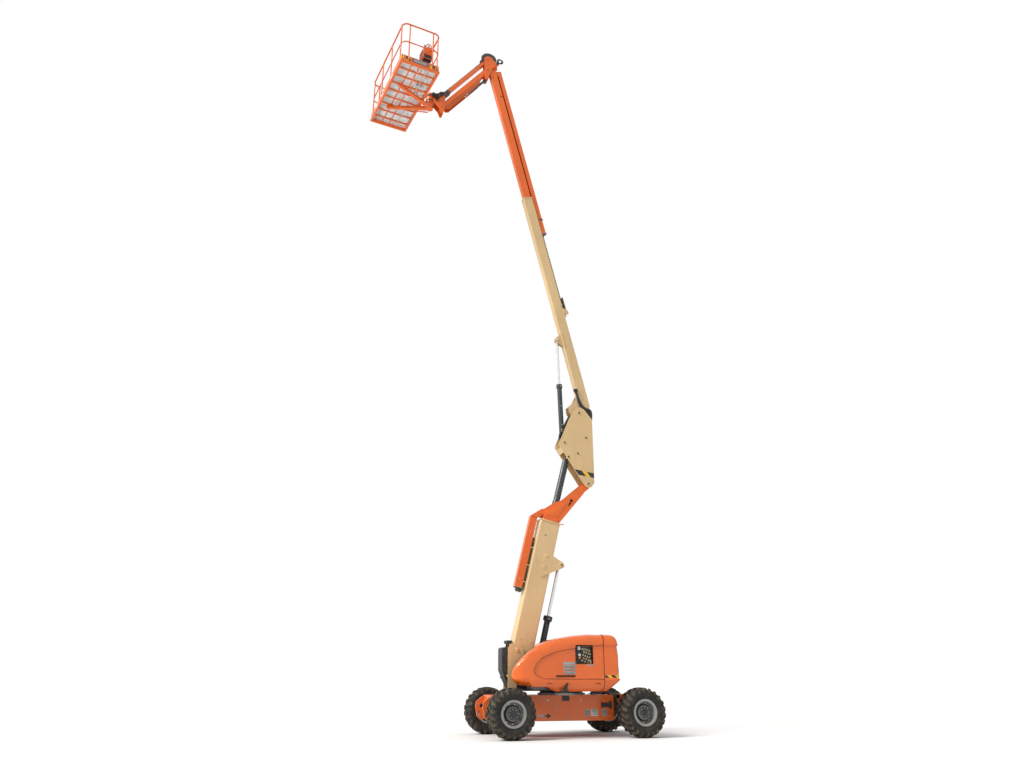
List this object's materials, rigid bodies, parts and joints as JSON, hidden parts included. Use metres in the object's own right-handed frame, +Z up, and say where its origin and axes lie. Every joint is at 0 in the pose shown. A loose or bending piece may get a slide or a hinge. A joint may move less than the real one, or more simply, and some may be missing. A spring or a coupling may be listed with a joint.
{
  "type": "articulating boom lift",
  "caption": "Self-propelled articulating boom lift with a telescopic tower, upright, telescopic main boom, jib and work platform.",
  "frame": {"origin": "On the ground under the slew axis, midway between the axles.", "axes": "+X is forward, towards the steered axle; +Y is left; +Z is up."},
  "size_m": [5.9038, 2.3761, 15.3607],
  "materials": {
    "orange_paint": "gloss",
    "orange_shell": "gloss",
    "tan_paint": "satin",
    "dark_paint": "satin",
    "black_steel": "satin",
    "rod_chrome": "polished",
    "tyre_rubber": "matte",
    "rim_grey": "satin",
    "gear_steel": "satin",
    "engine_metal": "matte",
    "tank_shell": "matte",
    "carrier_olive": "matte",
    "floor_mesh": "satin",
    "console_shell": "satin",
    "control_panel": "satin"
  },
  "bodies": {
    "chassis": {"chassis_frame": "orange_paint", "drive_axle": "dark_paint", "steer_axle": "dark_paint", "slew_ring": "gear_steel"},
    "drive_left_wheel": {"drive_left_tyre": "tyre_rubber", "drive_left_rim": "rim_grey"},
    "drive_right_wheel": {"drive_right_tyre": "tyre_rubber", "drive_right_rim": "rim_grey"},
    "left_knuckle": {"knuckle_left": "dark_paint"},
    "right_knuckle": {"knuckle_right": "dark_paint"},
    "steer_left_wheel": {"steer_left_tyre": "tyre_rubber", "steer_left_rim": "rim_grey"},
    "steer_right_wheel": {"steer_right_tyre": "tyre_rubber", "steer_right_rim": "rim_grey"},
    "turntable": {"turntable_deck": "dark_paint", "tower_feet": "tan_paint", "front_weight": "dark_paint", "engine_block": "engine_metal", "hydraulic_tank": "tank_shell", "ground_control": "control_panel", "counterweight": "black_steel", "tail_cover_left": "orange_shell", "tail_cover_right": "orange_shell"},
    "left_hood": {"hood_left": "orange_shell"},
    "right_hood": {"hood_right": "orange_shell"},
    "tower": {"tower_base": "tan_paint", "tower_hose_carrier": "carrier_olive"},
    "tower_inner": {"tower_fly": "orange_paint", "tower_push_tube": "orange_paint"},
    "tower_barrel": {"tower_cylinder_barrel": "black_steel"},
    "tower_rod": {"tower_cylinder_rod": "rod_chrome"},
    "upright_post": {"upright": "tan_paint"},
    "level_barrel": {"level_cylinder_barrel": "black_steel"},
    "level_rod": {"level_cylinder_rod": "rod_chrome"},
    "main_boom": {"main_base": "tan_paint", "main_hose_carrier": "carrier_olive"},
    "main_inner": {"main_fly": "orange_paint", "main_push_tube": "orange_paint"},
    "main_barrel": {"main_cylinder_barrel": "black_steel"},
    "main_rod": {"main_cylinder_rod": "rod_chrome"},
    "head": {"jib_head": "orange_paint"},
    "jib": {"jib_arm": "orange_paint"},
    "jib_tie": {"jib_link": "orange_paint"},
    "jib_barrel": {"jib_cylinder_barrel": "black_steel"},
    "jib_rod": {"jib_cylinder_rod": "rod_chrome"},
    "support": {"platform_support": "orange_paint"},
    "platform": {"platform_mount": "orange_paint", "platform_floor": "floor_mesh", "rails_outer": "orange_paint", "rails_inner": "orange_paint", "rails_near_end": "orange_paint", "rails_far_end": "orange_paint", "platform_console": "console_shell"},
    "gate": {"platform_gate": "orange_paint"}
  },
  "joints": [
    {"name": "drive_left_spin", "type": "hinge", "parent": "chassis", "child": "drive_left_wheel", "pos_m": [-1.22, 0.87, 0.419], "axis": [0, 1, 0], "continuous": true},
    {"name": "drive_right_spin", "type": "hinge", "parent": "chassis", "child": "drive_right_wheel", "pos_m": [-1.22, -0.87, 0.419], "axis": [0, 1, 0], "continuous": true},
    {"name": "steer_right_turn", "type": "hinge", "parent": "chassis", "child": "right_knuckle", "pos_m": [1.22, -0.64, 0.419], "axis": [0, 0, 1], "range_deg": [-32, 32]},
    {"name": "steer_left_turn", "type": "hinge", "parent": "chassis", "child": "left_knuckle", "pos_m": [1.22, 0.64, 0.419], "axis": [0, 0, 1], "range_deg": [-32, 32]},
    {"name": "steer_left_spin", "type": "hinge", "parent": "left_knuckle", "child": "steer_left_wheel", "pos_m": [1.22, 0.87, 0.419], "axis": [0, 1, 0], "continuous": true},
    {"name": "steer_right_spin", "type": "hinge", "parent": "right_knuckle", "child": "steer_right_wheel", "pos_m": [1.22, -0.87, 0.419], "axis": [0, 1, 0], "continuous": true},
    {"name": "slew", "type": "hinge", "parent": "chassis", "child": "turntable", "pos_m": [0, 0, 0.741], "axis": [0, 0, 1], "continuous": true},
    {"name": "hood_left_lift", "type": "hinge", "parent": "turntable", "child": "left_hood", "pos_m": [0, 0.331, 1.63], "axis": [1, 0, 0], "range_deg": [0, 60]},
    {"name": "hood_right_lift", "type": "hinge", "parent": "turntable", "child": "right_hood", "pos_m": [0, -0.331, 1.63], "axis": [-1, 0, 0], "range_deg": [0, 60]},
    {"name": "tower_lift", "type": "hinge", "parent": "turntable", "child": "tower", "pos_m": [-0.91, 0, 1.48], "axis": [0, -1, 0], "range_deg": [-74, 0]},
    {"name": "tower_extend", "type": "slide", "parent": "tower", "child": "tower_inner", "axis": [0.2351, 0, 0.972], "range_m": [0, 1.6]},
    {"name": "upright_level", "type": "hinge", "parent": "tower_inner", "child": "upright_post", "pos_m": [0.63153, 0, 4.7389], "axis": [0, 1, 0], "range_deg": [-74, 0]},
    {"name": "main_lift", "type": "hinge", "parent": "upright_post", "child": "main_boom", "pos_m": [0.478, 0, 6.26], "axis": [0, 1, 0], "range_deg": [-76, 0]},
    {"name": "main_extend", "type": "slide", "parent": "main_boom", "child": "main_inner", "axis": [-0.2419, 0, 0.9703], "range_m": [-3.45, 0]},
    {"name": "head_level", "type": "hinge", "parent": "main_inner", "child": "head", "pos_m": [-1.4191, 0, 15.10066], "axis": [0, -1, 0], "range_deg": [-76, 0]},
    {"name": "jib_lift", "type": "hinge", "parent": "head", "child": "jib", "pos_m": [-1.6091, 0, 14.95066], "axis": [0, 1, 0], "range_deg": [-8.5, 121.5]},
    {"name": "jib_link_swing", "type": "hinge", "parent": "head", "child": "jib_tie", "pos_m": [-1.6091, 0, 15.26566], "axis": [0, 1, 0], "range_deg": [-8.5, 121.5]},
    {"name": "platform_level", "type": "hinge", "parent": "jib", "child": "support", "pos_m": [-2.69228, 0, 13.58892], "axis": [0, -1, 0], "range_deg": [-8.5, 121.5]},
    {"name": "platform_rotate", "type": "hinge", "parent": "support", "child": "platform", "pos_m": [-2.97, 0, 13.75], "axis": [0, 0, 1], "range_deg": [-100.93, 79.07]},
    {"name": "gate_swing", "type": "hinge", "parent": "platform", "child": "gate", "pos_m": [-4.04367, 0.91604, 14.2], "axis": [0, 0, -1], "range_deg": [0, 90]},
    {"name": "tower_barrel_swing", "type": "hinge", "parent": "turntable", "child": "tower_barrel", "pos_m": [-0.5, 0, 1], "axis": [0, -1, 0], "range_deg": [-75.12, 0.5]},
    {"name": "tower_rod_slide", "type": "slide", "parent": "tower_barrel", "child": "tower_rod", "axis": [0.2354, 0, 0.9719], "range_m": [-0.76459, 0.005]},
    {"name": "level_barrel_swing", "type": "hinge", "parent": "upright_post", "child": "level_barrel", "pos_m": [0.215, 0, 5.28], "axis": [0, -1, 0], "range_deg": [-73.81, 0.5]},
    {"name": "level_rod_slide", "type": "slide", "parent": "level_barrel", "child": "level_rod", "axis": [-0.2504, 0, -0.9681], "range_m": [-0.82672, 0.005]},
    {"name": "main_barrel_swing", "type": "hinge", "parent": "upright_post", "child": "main_barrel", "pos_m": [0.14, 0, 5.58], "axis": [0, -1, 0], "range_deg": [-0.5, 62.39]},
    {"name": "main_rod_slide", "type": "slide", "parent": "main_barrel", "child": "main_rod", "axis": [-0.0295, 0, 0.9996], "range_m": [-0.81315, 0.005]},
    {"name": "jib_barrel_swing", "type": "hinge", "parent": "head", "child": "jib_barrel", "pos_m": [-1.6291, 0, 14.68566], "axis": [0, -1, 0], "range_deg": [-119.5, 8.82]},
    {"name": "jib_rod_slide", "type": "slide", "parent": "jib_barrel", "child": "jib_rod", "axis": [-0.6466, 0, -0.7628], "range_m": [-0.0373, 0.46674]}
  ],
  "couplings": [
    {"joint": "steer_left_turn", "follows": "steer_right_turn", "ratio": 1},
    {"joint": "upright_level", "follows": "tower_lift", "ratio": 1},
    {"joint": "head_level", "follows": "main_lift", "ratio": 1},
    {"joint": "jib_link_swing", "follows": "jib_lift", "ratio": 1},
    {"joint": "platform_level", "follows": "jib_lift", "ratio": 1},
    {"joint": "tower_barrel_swing", "follows": "tower_lift", "ratio": 1.0084},
    {"joint": "tower_rod_slide", "follows": "tower_lift", "m_per_rad": 0.58812},
    {"joint": "level_barrel_swing", "follows": "tower_lift", "ratio": 0.99062},
    {"joint": "level_rod_slide", "follows": "tower_lift", "m_per_rad": 0.63623},
    {"joint": "main_barrel_swing", "follows": "main_lift", "ratio": -0.8144},
    {"joint": "main_rod_slide", "follows": "main_lift", "m_per_rad": 0.60926},
    {"joint": "jib_barrel_swing", "follows": "jib_lift", "ratio": -0.9794},
    {"joint": "jib_rod_slide", "follows": "jib_lift", "m_per_rad": 0.21774}
  ]
}
